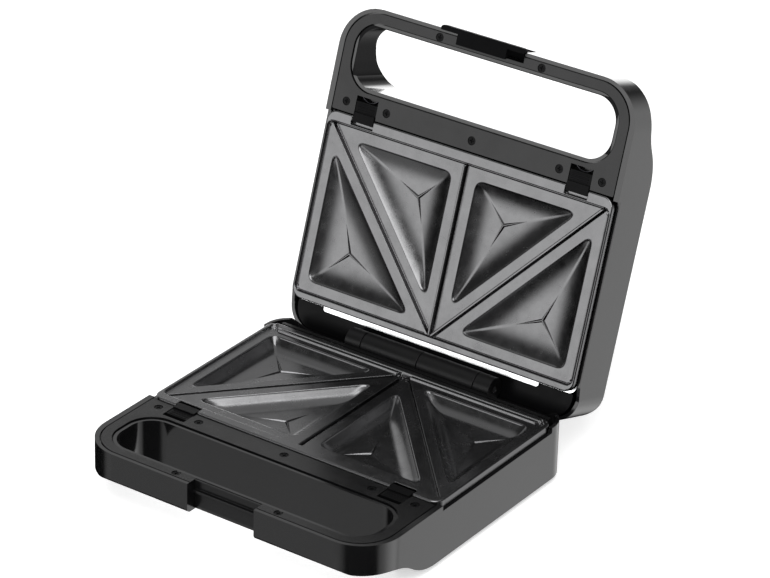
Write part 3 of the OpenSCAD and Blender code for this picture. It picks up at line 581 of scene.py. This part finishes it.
def skirt(top, outward, base):
    """The outline goes down, turns under and comes back up inside. The outer normals lean
    up a little, as a drafted wall's do."""
    ways = {
        "out": outward + np.array([0, 0, 0.22]),
        "down": np.tile([0, 0, -1.0], (len(top), 1)),
        "in": -outward,
    }
    rings, normals, faces = [], [], []
    for inset, z, way in ((0, None, "out"), (0, -SKIRT + 0.3, "out"), (0.3, -SKIRT, "down"),
                          (1.6, -SKIRT, "down"), (1.9, -SKIRT + 0.3, "in"), (2.4, -4.6, "in")):
        ring = top - outward * inset
        if z is not None:
            ring[:, 2] = z
        rings.append(ring)
        normals.append(ways[way])
    k = np.arange(len(top))
    after = (k + 1) % len(top)
    for r in range(len(rings) - 1):
        upper = base + r * len(top)
        lower = upper + len(top)
        faces.append(np.stack([upper + k, lower + k, lower + after], axis=1))
        faces.append(np.stack([upper + k, lower + after, upper + after], axis=1))
    return rings, normals, faces


def plate_marks(plate, name):
    """Three thin raised arms on each pocket's floor, running out towards its corners."""
    stations = np.array([-0.4, 1, 3, 6, 9, 12, 15, 18, 20.2, 21.4])
    section = ((-1.3, -0.25), (-0.2, 1.0), (0.2, 1.0), (1.3, -0.25))
    leans = (-1.0, 0.0, 1.0)  # of the left flank, the crest and the right flank
    verts, faces, normals = [], [], []
    first = 0
    for lines, arm in ((OUTER_LINES, 1.0), (INNER_LINES, 0.87)):
        corners, centre, _ = triangle(lines)
        run = arm * stations
        wide = 1.15 - 0.9 * np.clip(run / (21.0 * arm), 0, 1)
        rise = plate.mark_rise * np.clip((21.6 * arm - run) / (15.0 * arm), 0.05, 1)
        for side in (-1, 1):
            for corner in corners:
                way = (corner - centre) / np.linalg.norm(corner - centre)
                out = np.array([-way[1], way[0]])
                spot = centre[None, :] + run[:, None] * way[None, :]
                ground = plate.height(spot[:, 0], spot[:, 1])
                for lean, flank in zip(leans, zip(section, section[1:])):
                    for o, h in flank:
                        at = spot + out[None, :] * (o * wide)[:, None]
                        z = ground + (rise * h if h > 0 else h)
                        verts.append(np.column_stack([at[:, 0] * side, at[:, 1], z]))
                    n = np.array([out[0] * lean * side, out[1] * lean, 0.75])
                    normals.append(np.tile(n, (2 * len(run), 1)))
                    i = first + np.arange(len(run) - 1)
                    j = i + len(run)
                    f = np.concatenate([np.stack([i, i + 1, j + 1], axis=1),
                                        np.stack([i, j + 1, j], axis=1)])
                    faces.append(f if side > 0 else f[:, ::-1])
                    first += 2 * len(run)
    verts, faces, normals = (np.concatenate(v) for v in (verts, faces, normals))
    return grid_object(name, verts, faces, normals, plate.lid)


def grid_object(name, verts, faces, normals, lid):
    """An object from triangles and vertex normals of a half frame; the lid's are mirrored."""
    if lid:
        faces = faces[:, ::-1]
    mesh = bpy.data.meshes.new(name)
    v = place(verts, lid)
    mesh.vertices.add(len(v))
    mesh.vertices.foreach_set("co", v.ravel())
    mesh.loops.add(faces.size)
    mesh.loops.foreach_set("vertex_index", faces.ravel())
    mesh.polygons.add(len(faces))
    mesh.polygons.foreach_set("loop_start", np.arange(0, faces.size, faces.shape[1]))
    mesh.polygons.foreach_set("use_smooth", np.ones(len(faces), bool))
    mesh.update(calc_edges=True)
    mesh.validate(clean_customdata=False)
    n = turn(normals, lid)
    n = n / np.linalg.norm(n, axis=1, keepdims=True)
    mesh.normals_split_custom_set_from_vertices(n.tolist())
    ob = bpy.data.objects.new(name, mesh)
    bpy.context.scene.collection.objects.link(ob)
    return ob


for lid, node, body in ((False, "base_plate", "base"), (True, "lid_plate", "lid")):
    plate = Plate(lid)
    piece = plate.build(node + "_cast")
    piece.data.materials.append(mats["plate"])
    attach(piece, body)
    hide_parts(node)
    marks = plate_marks(plate, node + "_marks")
    marks.data.materials.append(mats["plate"])
    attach(marks, body)

# Floor: pale, lit a little from within, and left out of reflections
floor_mesh = bpy.data.meshes.new("studio_floor")
bm = bmesh.new()
bmesh.ops.create_grid(bm, x_segments=2, y_segments=2, size=6.0)
bm.to_mesh(floor_mesh)
bm.free()
floor = bpy.data.objects.new("studio_floor", floor_mesh)
bpy.context.scene.collection.objects.link(floor)
pale = new_material("floor_pale", (0.86, 0.86, 0.86), 0.9, level=0.1)
shader(pale).inputs["Emission Color"].default_value = (1, 1, 1, 1)
shader(pale).inputs["Emission Strength"].default_value = 0.55
floor_mesh.materials.append(pale)
floor.visible_glossy = False

# Softbox over the photographer's right shoulder
lamp = bpy.data.lights.new("top_right", "AREA")
lamp.shape = "RECTANGLE"
lamp.size = lamp.size_y = 1.5
lamp.energy = 36
softbox = bpy.data.objects.new("top_right", lamp)
softbox.location = (0.63, -1.1, 1.45)
aim = Vector((0, 0.05, 0.06)) - softbox.location
softbox.rotation_euler = aim.to_track_quat("-Z", "Y").to_euler()
bpy.context.scene.collection.objects.link(softbox)
softbox.visible_camera = False

# World: an even sky above the horizon, and soft lobes where the studio's bright panels stand.
# Each lobe has the way to it, the cosines where it begins and where it is full, its strength.
SKY_STRENGTH = 0.10
HORIZON = (-0.12, 0.02)
LOBES = (
    ((-0.51, 0.71, 0.48), (0.78, 0.98), 0.68),  # behind, on the left
    ((-0.05, 0.0, 1.0), (0.70, 0.95), 0.7),  # overhead
    ((-0.93, 0.33, 0.10), (0.82, 0.91), 0.8),  # left
    ((-0.41, -0.91, 0.07), (0.87, 0.995), 2.65),  # key panel beside the camera
    ((0.50, 0.73, -0.46), (0.62, 0.93), 1.3),  # low, behind on the right
    ((-0.50, -0.73, -0.46), (0.84, 0.98), 0.60),  # low, in front on the left
    ((0.84, 0.22, -0.48), (0.88, 0.97), 0.9),  # low, on the right
    ((-0.50, 0.86, -0.10), (0.90, 0.975), 3.0),  # narrow, far behind on the left
)
world = bpy.data.worlds.new("studio")
bpy.context.scene.world = world
world.use_nodes = True
sky_tree = world.node_tree
ways = sky_tree.nodes.new("ShaderNodeTexCoord").outputs["Generated"]
axes = sky_tree.nodes.new("ShaderNodeSeparateXYZ")
sky_tree.links.new(ways, axes.inputs[0])
above = range_node(sky_tree, axes.outputs["Z"], HORIZON, smooth=True)
strength = math_node(sky_tree, "MULTIPLY", above, SKY_STRENGTH)
for way, cosines, full in LOBES:
    facing = dot_node(sky_tree, ways, Vector(way).normalized())
    lobe = range_node(sky_tree, facing, cosines, (0, full), smooth=True)
    strength = math_node(sky_tree, "ADD", strength, lobe)
background = sky_tree.nodes["Background"]
sky_tree.links.new(strength, background.inputs["Strength"])
background.inputs["Color"].default_value = (1, 1, 1, 1)

# Camera, as solved on the photograph
AZIMUTH, ELEVATION, ROLL = 0.6045, 0.4775, 0.0272
PHOTO_WIDTH, FOCAL_PIXELS, SENSOR_WIDTH = 770.0, 3791.36, 36.0
DISTANCE = 2.70384
look = Vector((-83.43, 73.36 + HINGE_Y, 45.5)) * MM
level_right = Vector((math.cos(AZIMUTH), math.sin(AZIMUTH), 0))
back = Vector((math.sin(AZIMUTH) * math.cos(ELEVATION), -math.cos(AZIMUTH) * math.cos(ELEVATION),
               math.sin(ELEVATION)))
level_up = back.cross(level_right)
right = math.cos(ROLL) * level_right + math.sin(ROLL) * level_up
up = -math.sin(ROLL) * level_right + math.cos(ROLL) * level_up
cam_data = bpy.data.cameras.new("photo_camera")
cam_data.sensor_width = SENSOR_WIDTH
cam_data.sensor_fit = "HORIZONTAL"
cam_data.lens = FOCAL_PIXELS * SENSOR_WIDTH / PHOTO_WIDTH
cam_data.clip_end = 50
cam = bpy.data.objects.new("photo_camera", cam_data)
pose = Matrix((right, up, back)).transposed().to_4x4()
pose.translation = look + back * DISTANCE
cam.matrix_world = pose
bpy.context.scene.collection.objects.link(cam)
bpy.context.scene.camera = cam
bpy.context.scene.view_settings.view_transform = "Standard"
